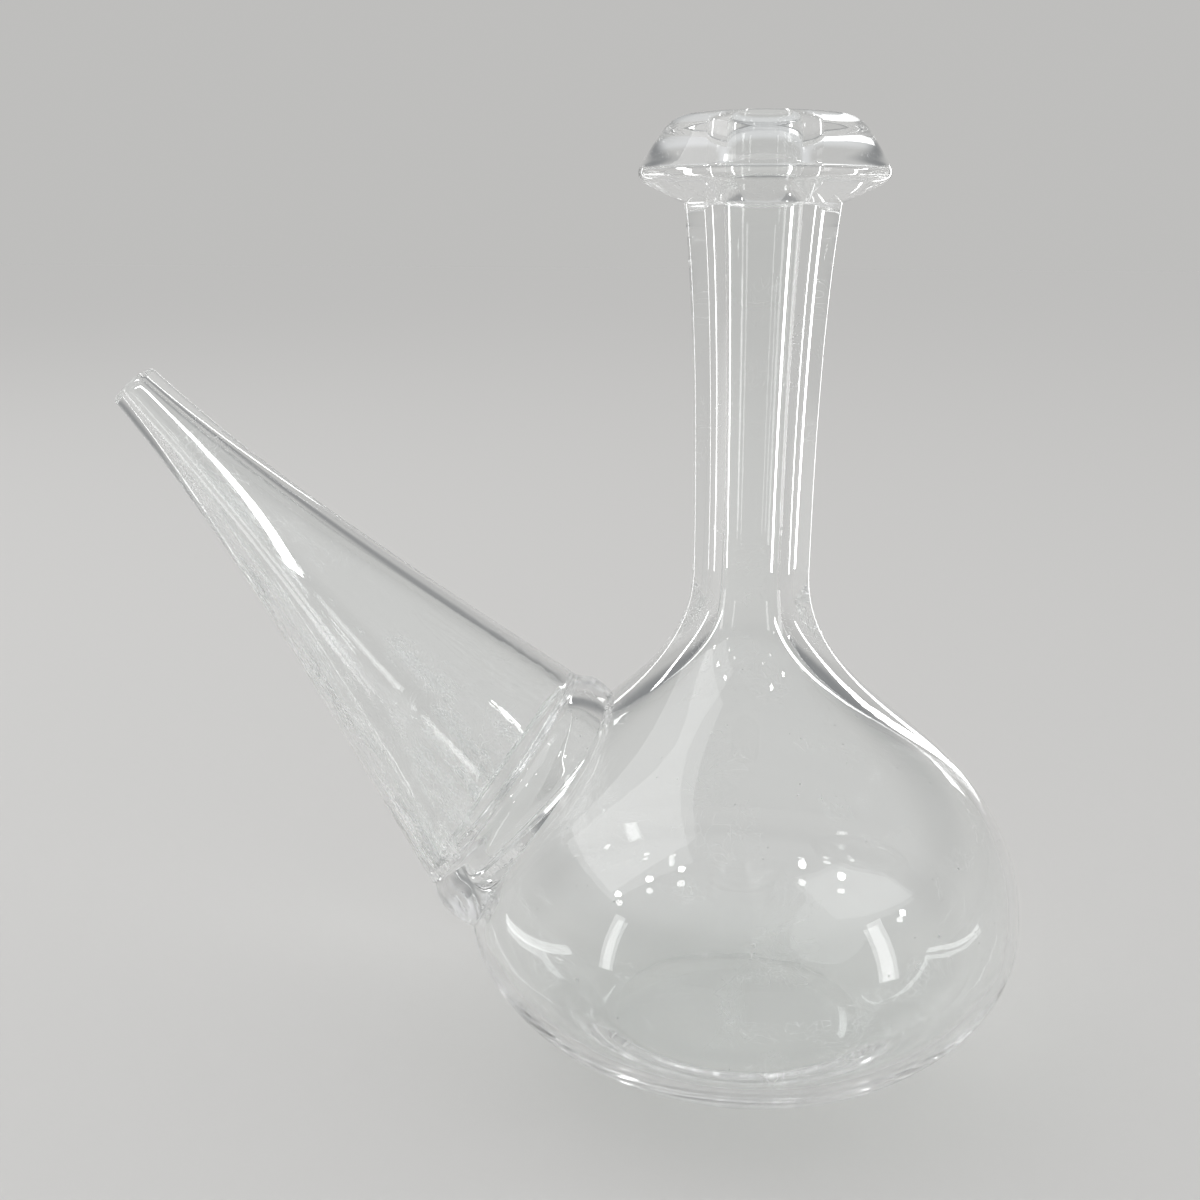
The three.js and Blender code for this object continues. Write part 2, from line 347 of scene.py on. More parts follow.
class Joint:
    """Frames of the spout, of the collar's face and of the passage, and the rings they share."""

    def __init__(self, scene):
        self.vessel = scene.porron_vessel
        self.spout = scene.porron_spout
        self.collar = scene.porron_collar
        fine_steps = 300
        self.outside = Surface(vessel_outside(self.vessel, fine_steps), 1)
        self.inside = Surface(vessel_inside(self.vessel, fine_steps), -1)
        radius, height, tilt = seat_on_belly(self.outside.outline, self.vessel, self.spout)
        self.lean = self.spout.elevation - tilt + self.collar.cant
        self.seat = np.array([-radius, 0, height])
        self.passage_radius = self.spout.root_radius - self.collar.breadth
        self.turn = np.arange(self.spout.sides) / self.spout.sides * 2 * math.pi
        self.cos = np.cos(self.turn)
        self.sin = np.sin(self.turn)
        spout = self.spout
        self.outer = self.taper(spout.root_radius, spout.tip_radius)
        self.inner = self.taper(spout.root_radius - spout.root_wall, spout.tip_bore)
        self.root = self.cut_by_face(self.outer)
        self.foot = self.cut_by_face(lambda d: self.inner(d) - spout.root_fillet)

    def world(self, points):
        """From the spout's frame, whose Z runs along it and X points to its upper side."""
        c, s = math.cos(self.spout.elevation), math.sin(self.spout.elevation)
        return self.seat + points @ np.array([[s, 0, c], [0, 1, 0], [-c, 0, s]])

    def leaning(self, points, lean):
        """From a frame about the middle of the collar's face, turned down by `lean`."""
        c, s = math.cos(lean), math.sin(lean)
        x = points[..., 0] * c - points[..., 2] * s
        z = points[..., 0] * s + points[..., 2] * c + self.collar.face_rise
        return self.world(np.stack([x, points[..., 1], z], axis=-1))

    def taper(self, root_radius, tip_radius):
        """Radius of the spout at a distance from the seat, running on straight below it."""
        spout = self.spout
        hold = spout.length / 3
        steps = 400
        points = [
            (0, root_radius),
            (hold, root_radius - spout.root_taper * hold),
            (spout.length - hold, tip_radius + spout.tip_taper * hold),
            (spout.length, tip_radius),
        ]
        curve = bezier(points, steps)

        def radius_at(distance):
            below = np.minimum(distance, 0)
            return np.interp(distance, curve[:, 0], curve[:, 1]) - spout.root_taper * below

        return radius_at

    def cut_by_face(self, radius_at):
        """Where each line along the spout meets the collar's face: distance from the seat."""
        distance = np.full_like(self.turn, self.collar.face_rise)
        rounds = 30
        for _ in range(rounds):
            radius = radius_at(distance)
            distance = self.collar.face_rise + radius * self.cos * math.tan(self.lean)
        return distance

    def spout_ring(self, radii, distances):
        return self.world(np.stack([radii * self.cos, radii * self.sin, distances], axis=-1))

    def wall_rings(self, radius_at, start, end, rows):
        """Rings along a face of the spout between two distances, without the first."""
        places = [start + (end - start) * share for share in np.linspace(0, 1, rows + 1)[1:]]
        return [self.spout_ring(radius_at(place), place) for place in places]

    def root_edges(self):
        """The spout's root on the collar's face: its inner edge, past the fillet, and its outer."""
        radius = self.inner(self.foot) - self.spout.root_fillet
        outer_edge = self.spout_ring(self.outer(self.root), self.root)
        return self.spout_ring(radius, self.foot), outer_edge

    def passage_ring(self, distance):
        """A ring of the passage at a distance outwards along it from the collar's face."""
        size = self.passage_radius
        ring = np.stack([size * self.cos, size * self.sin, 0 * self.cos + distance], axis=-1)
        return self.leaning(ring, self.lean + self.collar.dip)

    def passage_at_face(self):
        """Distance along the passage at which each of its lines reaches the collar's face."""
        return -self.passage_radius * self.cos * math.tan(self.collar.dip)

    def passage_through(self, surface, inset=0.0):
        """Distance along the passage at which each of its lines meets a face of the vessel."""
        first, last, steps = 0.01, -0.06, 1400
        distances = np.linspace(first, last, steps + 1)
        rings = np.stack([self.passage_ring(d) for d in distances], axis=1)
        out = np.hypot(rings[..., 0], rings[..., 1]) - surface.radius_at(rings[..., 2]) + inset
        return crossing(distances, out)

    def bead(self, steps):
        """The collar's outside: for each turn, a line of points from its face downwards."""
        collar = self.collar
        root = self.spout.root_radius
        out, low = root + collar.bulge, -collar.bulge_depth
        over = [(root, 0), (root + collar.face_step / 2, low / 4), (out, low / 4), (out, low)]
        under = [(out, low), (out, low - collar.undercut), (out - collar.undercut, -collar.depth)]
        path = joined(bezier(over, steps), bezier(under, steps))
        shift = path[:, 1] * collar.sag_slope - collar.sag
        x = path[None, :, 0] * self.cos[:, None] + shift[None, :]
        y = path[None, :, 0] * self.sin[:, None]
        z = np.broadcast_to(path[None, :, 1], x.shape)
        return self.leaning(np.stack([x, y, z], axis=-1), self.lean)

    def bead_rings(self, rows):
        """The collar's outside from its face to where it meets the vessel, as rings."""
        fine_steps = 200
        fine = self.bead(fine_steps)
        radius = self.outside.radius_at(fine[..., 2]) - SUNK
        out = np.hypot(fine[..., 0], fine[..., 1]) - radius
        places = np.arange(fine.shape[1], dtype=float)
        end = crossing(places, out)
        rings = []
        for share in np.linspace(0, 1, rows + 1):
            place = end * share
            low = np.clip(np.floor(place).astype(int), 0, fine.shape[1] - 2)
            part = (place - low)[:, None]
            line = np.arange(len(end))
            rings.append(fine[line, low] * (1 - part) + fine[line, low + 1] * part)
        return rings

    def on_vessel(self, ring, surface, inset):
        """A ring moved level onto a face of the vessel, or by `inset` below it."""
        radius = surface.radius_at(ring[:, 2]) - inset
        scale = radius / np.hypot(ring[:, 0], ring[:, 1])
        return np.column_stack([ring[:, 0] * scale, ring[:, 1] * scale, ring[:, 2]])

    def underside_rings(self, rows):
        """The face that collar and vessel share, from its outer edge to the passage."""
        edge = self.bead_rings(1)[-1]
        start = self.passage_ring(self.passage_through(self.outside, SUNK))
        rings = [edge]
        for share in np.linspace(0, 1, rows + 1)[1:-1]:
            rings.append(self.on_vessel(edge * (1 - share) + start * share, self.outside, SUNK))
        return rings + [start]

    def passage_rings(self, start, end, rows):
        """Rings of the passage between two distances that differ from line to line."""
        return [self.passage_ring(start + (end - start) * s) for s in np.linspace(0, 1, rows + 1)]


def crossing(places, values):
    """For each row of values, the place where it first turns negative."""
    first = np.argmax(values < 0, axis=1)
    if np.any(first == 0):
        raise RuntimeError("a line of the spout's joint doesn't meet the vessel")
    line = np.arange(len(first))
    high, low = values[line, first - 1], values[line, first]
    share = high / (high - low)
    return places[first - 1] + (places[first] - places[first - 1]) * share


def rounded_rings(before, corner, after, steps):
    """Rings that round the corner between two rings; the first and last are those two."""
    t = np.linspace(0, 1, steps + 1)
    return [(1 - s) ** 2 * before + 2 * s * (1 - s) * corner + s * s * after for s in t]


def fitted(name, rings, slots, materials, ends=None):
    """A closed piece through rings of equal length. `slots` gives each band's material slot.

    The last ring joins the first, unless `ends` gives a point to close each end with.
    """
    rings = np.array(rings)
    rows, sides, _ = rings.shape
    vertices = rings.reshape(-1, 3).tolist()
    faces, marks = [], []
    bands = rows - 1 if ends else rows
    for i in range(bands):
        j = (i + 1) % rows
        for k in range(sides):
            m = (k + 1) % sides
            faces.append((i * sides + k, i * sides + m, j * sides + m, j * sides + k))
            marks.append(slots[i])
    if ends:
        for row, point, flip in ((0, ends[0], True), (rows - 1, ends[1], False)):
            vertices.append(point.tolist())
            middle = len(vertices) - 1
            for k in range(sides):
                a, b = row * sides + k, row * sides + (k + 1) % sides
                faces.append((middle, b, a) if flip else (middle, a, b))
                marks.append(CLEAR)
    mesh = bpy.data.meshes.new(name)
    mesh.from_pydata(vertices, [], faces)
    mesh.polygons.foreach_set("material_index", marks)
    if volume_of(mesh) < 0:
        mesh.flip_normals()
    mesh.update()
    piece = add_object(name, mesh)
    fill_slots(piece, *materials)
    return piece


def volume_of(mesh):
    """Volume that a closed mesh holds, negative where its faces point inwards."""
    shape = bmesh.new()
    shape.from_mesh(mesh)
    volume = shape.calc_volume(signed=True)
    shape.free()
    return volume


def add_object(name, data):
    made = bpy.data.objects.new(name, data)
    bpy.context.scene.collection.objects.link(made)
    return made


def baked(source, name):
    """A plain mesh object from an object with live modifiers, which is then deleted."""
    bpy.context.view_layer.update()
    seen = source.evaluated_get(bpy.context.evaluated_depsgraph_get())
    mesh = bpy.data.meshes.new_from_object(seen)
    mesh.name = name
    bpy.data.objects.remove(source)
    return add_object(name, mesh)


def smooth(mesh, sharp_degrees):
    mesh.shade_smooth()
    mesh.set_sharp_from_angle(angle=math.radians(sharp_degrees))


def grow(piece, tree, values):
    """Puts a Geometry Nodes tree on a piece, with each named input set by its identifier."""
    modifier = piece.modifiers.new(tree.name, "NODES")
    modifier.node_group = tree
    sockets = [item for item in tree.interface.items_tree if item.item_type == "SOCKET"]
    inputs = {item.name: item.identifier for item in sockets if item.in_out == "INPUT"}
    for name, value in values.items():
        modifier[inputs[name]] = value


class Tree:
    """A node tree under construction, with short calls for nodes and links."""

    SPACING = 180

    def __init__(self, tree):
        self.tree = tree
        self.column = 0

    def add(self, kind, inputs=None, **settings):
        node = self.tree.nodes.new(kind)
        self.column += 1
        node.location = (self.column * self.SPACING, 0)
        for key, value in settings.items():
            setattr(node, key, value)
        for key, value in (inputs or {}).items():
            self.plug(node.inputs[key], value)
        return node

    def plug(self, socket, value):
        """Links a socket or a node's first output, or sets a plain value."""
        if isinstance(value, bpy.types.Node):
            value = value.outputs[0]
        if isinstance(value, bpy.types.NodeSocket):
            self.tree.links.new(value, socket)
        else:
            socket.default_value = value

    def math(self, operation, first, second=0.0):
        return self.add("ShaderNodeMath", {0: first, 1: second}, operation=operation)

    def vector(self, operation, inputs):
        """The outputs of a vector node: the first a vector, "Value" a number."""
        return self.add("ShaderNodeVectorMath", inputs, operation=operation).outputs

    def times(self, first, second):
        return self.math("MULTIPLY", first, second)

    def plus(self, first, second):
        return self.math("ADD", first, second)


def new_geometry_tree(name, inputs):
    """A Geometry Nodes tree with a geometry in and out, and the named inputs."""
    tree = bpy.data.node_groups.new(name, "GeometryNodeTree")
    tree.interface.new_socket("Geometry", in_out="INPUT", socket_type="NodeSocketGeometry")
    tree.interface.new_socket("Geometry", in_out="OUTPUT", socket_type="NodeSocketGeometry")
    for label, kind in inputs.items():
        tree.interface.new_socket(label, in_out="INPUT", socket_type="NodeSocket" + kind)
    return tree


def finish_tree(build, geometry, material):
    """The last nodes of every tree: real geometry, with its material."""
    real = build.add("GeometryNodeRealizeInstances", {0: geometry})
    dressed = build.add("GeometryNodeSetMaterial", {"Geometry": real, "Material": material})
    build.add("NodeGroupOutput", {"Geometry": dressed})


def turned_tree():
    """Turns an outline of points (radius, 0, height) about +Z into a surface."""
    tree = new_geometry_tree("Turned glass", {"Sides": "Int", "Glass": "Material"})
    build = Tree(tree)
    given = build.add("NodeGroupInput").outputs
    outline = given["Geometry"]
    size = build.add("GeometryNodeAttributeDomainSize", {"Geometry": outline})
    points = size.outputs["Point Count"]
    columns = build.plus(given["Sides"], 1.0)
    shape = {"Size X": 1.0, "Size Y": 1.0, "Vertices X": points, "Vertices Y": columns}
    sheet = build.add("GeometryNodeMeshGrid", shape)
    position = build.add("GeometryNodeInputPosition")
    place = build.add("ShaderNodeSeparateXYZ", {0: position}).outputs
    along = build.plus(place["X"], 0.5)
    steps = build.math("SUBTRACT", points, 1.0)
    index = build.math("ROUND", build.times(along, steps))
    sample = build.add(
        "GeometryNodeSampleIndex",
        {"Geometry": outline, "Index": index, "Value": position},
        data_type="FLOAT_VECTOR",
    )
    drawn = build.add("ShaderNodeSeparateXYZ", {0: sample}).outputs
    turn = build.times(build.plus(place["Y"], 0.5), 2 * math.pi)
    x = build.times(drawn["X"], build.math("COSINE", turn))
    y = build.times(drawn["X"], build.math("SINE", turn))
    moved = build.add("ShaderNodeCombineXYZ", {0: x, 1: y, 2: drawn["Z"]})
    surface = build.add("GeometryNodeSetPosition", {"Geometry": sheet, "Position": moved})
    whole = build.add("GeometryNodeMergeByDistance", {"Geometry": surface, "Distance": MERGED})
    finish_tree(build, whole, given["Glass"])
    return tree


def turned(name, outline, sides, *materials):
    """A turned piece, or surface, from an outline in its own plane."""
    mesh = bpy.data.meshes.new(name)
    edges = [(i, i + 1) for i in range(len(outline) - 1)]
    mesh.from_pydata([(r, 0, h) for r, h in outline], edges, [])
    blank = add_object(name + "_outline", mesh)
    grow(blank, turned_tree(), {"Sides": sides, "Glass": materials[0]})
    piece = baked(blank, name)
    if volume_of(piece.data) < 0:
        piece.data.flip_normals()
    clear_marks(piece)
    fill_slots(piece, *materials)
    return piece


def seeds_tree():
    """Small bubbles inside the wall under a surface."""
    inputs = {"Density": "Float", "Largest radius": "Float", "Depth": "Float"}
    inputs.update({"Seed": "Int", "Air": "Material"})
    tree = new_geometry_tree("Seeds in the glass", inputs)
    build = Tree(tree)
    given = build.add("NodeGroupInput").outputs
    spread = build.add(
        "GeometryNodeDistributePointsOnFaces",
        {"Mesh": given["Geometry"], "Density": given["Density"], "Seed": given["Seed"]},
    )
    depth = build.times(given["Depth"], -1.0)
    inwards = build.vector("SCALE", {0: spread.outputs["Normal"], "Scale": depth})
    sunk = build.add("GeometryNodeSetPosition", {"Geometry": spread, "Offset": inwards[0]})
    ball = build.add("GeometryNodeMeshIcoSphere", {"Radius": 1.0, "Subdivisions": 2})
    size = build.add("FunctionNodeRandomValue", {"Seed": given["Seed"]}, data_type="FLOAT")
    smallest, largest = 0.3, 1.0
    build.plug(size.inputs[2], smallest)
    build.plug(size.inputs[3], largest)
    scale = build.times(size.outputs[1], given["Largest radius"])
    placed = build.add(
        "GeometryNodeInstanceOnPoints", {"Points": sunk, "Instance": ball, "Scale": scale}
    )
    finish_tree(build, placed, given["Air"])
    return tree


def material_tree(name):
    material = bpy.data.materials.new(name)
    material.use_nodes = True
    material.node_tree.nodes.clear()
    return material, Tree(material.node_tree)


def lamp_light_passes(build, surface, look):
    """Lamps shine through the glass, dimmed a little by each of its walls."""
    path = build.add("ShaderNodeLightPath")
    clear = build.add("ShaderNodeBsdfTransparent", {"Color": (*look.light_through, 1)})
    mixed = build.add("ShaderNodeMixShader", {0: path.outputs["Is Shadow Ray"], 1: surface, 2: clear})
    build.add("ShaderNodeOutputMaterial", {"Surface": mixed})


def noise(build, vector, scale, detail, roughness=0.5):
    """Noise from 0 to 1, with `scale` cells to a metre of Object coordinates."""
    return build.add(
        "ShaderNodeTexNoise",
        {"Vector": vector, "Scale": scale, "Detail": detail, "Roughness": roughness},
    )


def stretched(build, vector, scale, turn=(0, 0, 0)):
    """Object coordinates turned and then stretched, so that one cell has this size."""
    return build.add(
        "ShaderNodeMapping",
        {"Vector": vector, "Rotation": turn, "Scale": scale},
        vector_type="TEXTURE",
    )


def ramp(build, value, low, high):
    """0 below `low`, 1 above `high`, smooth between."""
    return build.add(
        "ShaderNodeMapRange",
        {"Value": value, "From Min": low, "From Max": high},
        interpolation_type="SMOOTHSTEP",
    )


def glass_relief(build, place, look):
    """Unevenness of blown glass: slow waves, fine peel in patches, turning rings and ripples.

    The ripples lie where the spout was set on the hot vessel.
    """
    waves = build.times(noise(build, place, 17.0, 1.0), look.waviness)
    patches = ramp(build, noise(build, place, 24.0, 1.0), 0.5, 0.68)
    level = stretched(build, place, (0.009, 0.009, 0.0025))
    peel = build.times(noise(build, level, 1.0, 1.0), look.peel)
    peel = build.times(peel, patches)
    level = stretched(build, place, (0.5, 0.5, 0.004))
    rings = build.times(noise(build, level, 1.0, 2.0), look.striae)
    away = build.vector("DISTANCE", {0: place, 1: tuple(JOINT_MIDDLE)})["Value"]
    faded, full = 0.055, 0.03
    near = ramp(build, away, faded, full)
    height = build.times(noise(build, place, 190.0, 1.0), look.ripples)
    ripples = build.times(height, near)
    return build.plus(build.plus(waves, peel), build.plus(rings, ripples))


def scratch_mask(build, place):
    """Sparse thin curved scratches: edges of large warped cells, shown only here and there."""
    warp = build.add("ShaderNodeTexNoise", {"Vector": place, "Scale": 30.0}).outputs[1]
    bent = build.vector("ADD", {0: place, 1: warp})[0]
    cells = build.add(
        "ShaderNodeTexVoronoi", {"Vector": bent, "Scale": 26.0}, feature="DISTANCE_TO_EDGE"
    )
    line = ramp(build, cells, 0.011, 0.003)
    shown = ramp(build, noise(build, place, 45.0, 1.0), 0.6, 0.64)
    return build.times(line, shown)


def glass_shader(build, look, place, haze=None):
    """The glass itself. `haze` is a mask of whitish film on it."""
    smear_roughness, scratch_roughness, haze_roughness = 0.03, 0.4, 0.35
    scratch_cover, haze_cover = 0.3, 0.75
    smears = ramp(build, noise(build, place, 22.0, 4.0, 0.7), 0.63, 0.8)
    scratches = scratch_mask(build, place)
    dull = build.plus(build.times(smears, smear_roughness), build.times(scratches, scratch_roughness))
    clear = build.math("SUBTRACT", 1.0, build.times(scratches, scratch_cover))
    if haze is not None:
        dull = build.plus(dull, build.times(haze, haze_roughness))
        clear = build.math("SUBTRACT", clear, build.times(haze, haze_cover))
    relief = glass_relief(build, place, look)
    bump = build.add("ShaderNodeBump", {"Strength": 1.0, "Distance": 1.0, "Height": relief})
    inputs = {"IOR": GLASS_IOR, "Base Color": (*look.tint, 1), "Roughness": dull}
    inputs.update({"Transmission Weight": clear, "Normal": bump})
    return build.add("ShaderNodeBsdfPrincipled", inputs)


def blown_glass(look):
    material, build = material_tree("blown_clear_glass")
    place = build.add("ShaderNodeTexCoord").outputs["Object"]
    lamp_light_passes(build, glass_shader(build, look, place), look)
    return material


def spout_glass(look, joint):
    """Glass of the spout, with whitish streaks of dried wine stone along its lower side."""
    material, build = material_tree("drawn_clear_glass")
    place = build.add("ShaderNodeTexCoord").outputs["Object"]
    up = joint.spout.elevation
    along = stretched(build, place, (0.007, 0.007, 0.05), (0, up - math.pi / 2, 0))
    streaks = ramp(build, noise(build, along, 1.0, 6.0, 0.8), 0.5, 0.62)
    patches = ramp(build, noise(build, place, 22.0, 2.0), 0.38, 0.54)
    above = build.vector("DOT_PRODUCT", {0: place, 1: (math.sin(up), 0, math.cos(up))})["Value"]
    axis = joint.seat[0] * math.sin(up) + joint.seat[2] * math.cos(up)
    low = ramp(build, above, axis + 0.006, axis - 0.012)
    haze = build.times(build.times(streaks, patches), low)
    lamp_light_passes(build, glass_shader(build, look, place, haze), look)
    return material


def even_material(name, inputs):
    """A material that is the same all over."""
    material, build = material_tree(name)
    shader = build.add("ShaderNodeBsdfPrincipled", inputs)
    build.add("ShaderNodeOutputMaterial", {"Surface": shader})
    return material


def fused_face():
    """Hidden faces where two pieces are fused: light goes straight through."""
    return even_material("fused_joint", {"Alpha": 0.0, "Roughness": 1.0})


def air_in_glass():
    """A bubble: seen from the glass, air bends light the other way."""
    inputs = {"IOR": 1 / GLASS_IOR, "Roughness": 0.0, "Transmission Weight": 1.0}
    return even_material("air_seed", inputs)


def shared(name, make, *given):
    """A material by name, made the first time it is asked for."""
    return bpy.data.materials.get(name) or make(*given)


def fill_slots(piece, *materials):
    """Gives a piece these material slots and no others; its faces keep their marks."""
    mesh = piece.data
    marks = np.zeros(len(mesh.polygons), dtype=np.int32)
    mesh.polygons.foreach_get("material_index", marks)
    mesh.materials.clear()
    for material in materials:
        mesh.materials.append(material)
    mesh.polygons.foreach_set("material_index", np.minimum(marks, len(materials) - 1))


def clear_marks(piece):
    piece.data.polygons.foreach_set("material_index", np.zeros(len(piece.data.polygons), int))


def hand_over(piece, node):
    """Frame calls that every piece of glass has."""
    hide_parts(node)
    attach(piece, BODY)


def glass_slots(look):
    return shared("blown_clear_glass", blown_glass, look), shared("fused_joint", fused_face)


def mark_flat_ring(mesh, height, inner, outer):
    """Gives the fused slot to the faces of a flat ring at a height."""
    for face in mesh.polygons:
        middle = face.center
        reach = math.hypot(middle.x, middle.y)
        if abs(middle.z - height) < LEVEL and inner < reach < outer:
            face.material_index = FUSED


def vessel_normals(mesh, joint):
    """Exact normals on the vessel's turned faces, so that the cut for the spout leaves no trace."""
    found = [(joint.outside.near(v.co), joint.inside.near(v.co)) for v in mesh.vertices]
    normals = np.array([corner.vector for corner in mesh.corner_normals])
    for face in mesh.polygons:
        if face.material_index == FUSED:
            continue
        for side in (0, 1):
            if all(found[v][side][0] < CLOSE for v in face.vertices):
                for corner, v in zip(face.loop_indices, face.vertices):
                    normals[corner] = found[v][side][1]
    mesh.normals_split_custom_set(normals.tolist())


def passage_cutter(joint, materials):
    """What leaves the vessel for the collar and the passage: a shallow seat and a rimmed hole."""
    edge = joint.bead_rings(1)[-1]
    outer_end = joint.passage_through(joint.outside, SUNK)
    inner_end = joint.passage_through(joint.inside)
    rim = joint.collar.belly_rim
    corner = joint.passage_ring(inner_end)
    middle = corner.mean(axis=0)
    laid = joint.on_vessel(corner + unit(corner - middle) * rim, joint.inside, RIM_LAP)
    lifted = edge + outward(edge) * CLEARANCE
    inner = joint.on_vessel(laid, joint.inside, CLEARANCE)
    far = joint.passage_ring(CUTTER_REACH).mean(axis=0)
    rings = [lifted] + joint.underside_rings(SHARED_ROWS)
    slots = [CLEAR] + [FUSED] * SHARED_ROWS
    wall_rows, rim_rows = 6, 8
    walls = joint.passage_rings(outer_end, inner_end + rim, wall_rows)[1:]
    rounding = rounded_rings(walls[-1], corner, laid, rim_rows)[1:]
    rings += walls + rounding + [inner]
    slots += [CLEAR] * (len(walls) + len(rounding) + 1)
    return fitted("passage_cutter", rings, slots, materials, (far, inner.mean(axis=0)))


def outward(ring):
    """Level directions from the vessel's axis through a ring's points."""
    return unit(ring * np.array([1, 1, 0]))


class PORRON_OT_vessel(bpy.types.Operator):
    """Belly, shoulder and neck in one, with the spout's opening through the wall"""

    bl_idname = "porron.vessel"
    bl_label = "Vessel"

    def execute(self, context):
        scene = context.scene
        sizes = scene.porron_vessel
        joint = Joint(scene)
        slots = glass_slots(scene.porron_glass)
        steps = 40
        outline = np.vstack([vessel_outside(sizes, steps), vessel_inside(sizes, steps)[::-1]])
        wall = turned("glass_vessel", outline, sizes.sides, *slots)
        top = sizes.neck_top
        mark_flat_ring(wall.data, top, sizes.neck_top_bore, sizes.neck_top_radius)
        cutter = passage_cutter(joint, slots)
        cut = wall.modifiers.new("Spout opening", "BOOLEAN")
        cut.operation = "DIFFERENCE"
        cut.solver = "MANIFOLD"
        cut.object = cutter
        piece = baked(wall, "glass_vessel")
        bpy.data.objects.remove(cutter)
        smooth(piece.data, VESSEL_SHARP)
        vessel_normals(piece.data, joint)
        hand_over(piece, "vessel_body")
        return {"FINISHED"}


class PORRON_OT_lip(bpy.types.Operator):
    """Heavy ring laid round the neck's end"""

    bl_idname = "porron.lip"
    bl_label = "Lip"

    def execute(self, context):
        scene = context.scene
        sizes = scene.porron_vessel
        lip = scene.porron_lip
        low, bore, neck = sizes.neck_top, sizes.neck_top_bore, sizes.neck_top_radius
        corners = [
            [bore, low, 0],
            [neck, low, 0],
            [neck + lip.foot, low, 0],
            [neck + lip.overhang, low + lip.equator_rise, lip.equator_rounding],
            [bore + lip.crown_breadth, lip.top, lip.crown_rounding],
            [bore, lip.top, lip.mouth_rounding],
        ]
        steps = 14
        outline = rounded_outline(corners, steps)
        outline = np.vstack([outline, outline[:1]])
        piece = turned("glass_lip", outline, sizes.sides, *glass_slots(scene.porron_glass))
        mark_flat_ring(piece.data, low, bore, neck)
        smooth(piece.data, PIECE_SHARP)
        hand_over(piece, "lip_ring")
        return {"FINISHED"}


class PORRON_OT_collar(bpy.types.Operator):
    """Saddle-seated bead that carries the spout, with the passage through it"""

    bl_idname = "porron.collar"
    bl_label = "Collar"

    def execute(self, context):
        scene = context.scene
        joint = Joint(scene)
        inner_edge, outer_edge = joint.root_edges()
        bead_rows, wall_rows, rim_rows = 24, 8, 10
        outside = joint.bead_rings(bead_rows)
        underside = joint.underside_rings(SHARED_ROWS)
        low = joint.passage_through(joint.outside, SUNK)
        high = joint.passage_at_face()
        corner = joint.passage_ring(high)
        rim = joint.collar.spout_rim
        laid = corner + unit(inner_edge - corner) * rim
        walls = joint.passage_rings(low, high - rim, wall_rows)[1:]
        rounding = rounded_rings(walls[-1], corner, laid, rim_rows)[1:]
        outside[0] = outer_edge
        rings = outside + underside[1:] + walls + rounding + [inner_edge]
        slots = [CLEAR] * (len(outside) - 1) + [FUSED] * (len(underside) - 1)
        slots += [CLEAR] * (len(rings) - 1 - len(slots)) + [FUSED]
        piece = fitted("glass_collar", rings, slots, glass_slots(scene.porron_glass))
        smooth(piece.data, PIECE_SHARP)
        hand_over(piece, "spout_collar")
        return {"FINISHED"}


class PORRON_OT_spout(bpy.types.Operator):
    """Straight tapering spout, open at its tip"""

    bl_idname = "porron.spout"
    bl_label = "Spout"

    def execute(self, context):
        scene = context.scene
        joint = Joint(scene)
        sizes = joint.spout
        glass = shared("drawn_clear_glass", spout_glass, scene.porron_glass, joint)
        inner_edge, outer_edge = joint.root_edges()
        tip = np.full_like(joint.root, sizes.length)
        polish = sizes.tip_rounding
        polished = tip - polish
        wall_rows, tip_rows, fillet_rows = 60, 6, 8
        rings = [outer_edge] + joint.wall_rings(joint.outer, joint.root, polished, wall_rows)
        corner = joint.spout_ring(sizes.tip_radius, tip)
        flat = joint.spout_ring(sizes.tip_radius - polish, tip)
        rings += rounded_rings(rings[-1], corner, flat, tip_rows)[1:]
        corner = joint.spout_ring(sizes.tip_bore, tip)
        flat = joint.spout_ring(sizes.tip_bore + polish, tip)
        bore = joint.spout_ring(joint.inner(polished), polished)
        rings += rounded_rings(flat, corner, bore, tip_rows)
        fillet = sizes.root_fillet
        rings += joint.wall_rings(joint.inner, polished, joint.foot + fillet, wall_rows)
        for turn in np.linspace(0, math.pi / 2, fillet_rows + 1)[1:-1]:
            place = joint.foot + fillet * (1 - math.sin(turn))
            radius = joint.inner(place) - fillet * (1 - math.cos(turn))
            rings.append(joint.spout_ring(radius, place))
        rings.append(inner_edge)
        slots = [CLEAR] * (len(rings) - 1) + [FUSED]
        piece = fitted("glass_spout", rings, slots, (glass, shared("fused_joint", fused_face)))
        smooth(piece.data, PIECE_SHARP)
        hand_over(piece, "spout_cone")
        return {"FINISHED"}


class PORRON_OT_seeds(bpy.types.Operator):
    """Small bubbles in the wall of belly and shoulder"""

    bl_idname = "porron.seeds"
    bl_label = "Seeds"

    def execute(self, context):
        scene = context.scene
        sizes = scene.porron_vessel
        look = scene.porron_glass
        air = shared("air_seed", air_in_glass)
        lowest, highest = 0.012, 0.11
        outline_steps, sides, seed = 12, 48, 7
        outline = vessel_outside(sizes, outline_steps)
        heights = outline[:, 1]
        wall = outline[(heights > lowest) & (heights < highest)]
        ground = turned("seed_ground", wall, sides, air)
        area = sum(face.area for face in ground.data.polygons)
        values = {
            "Density": look.seeds / area,
            "Largest radius": look.seed_radius,
            "Depth": sizes.belly_wall / 2,
            "Seed": seed,
            "Air": air,
        }
        grow(ground, seeds_tree(), values)
        piece = baked(ground, "air_seeds")
        clear_marks(piece)
        fill_slots(piece, air)
        piece.data.shade_smooth()
        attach(piece, BODY)
        return {"FINISHED"}


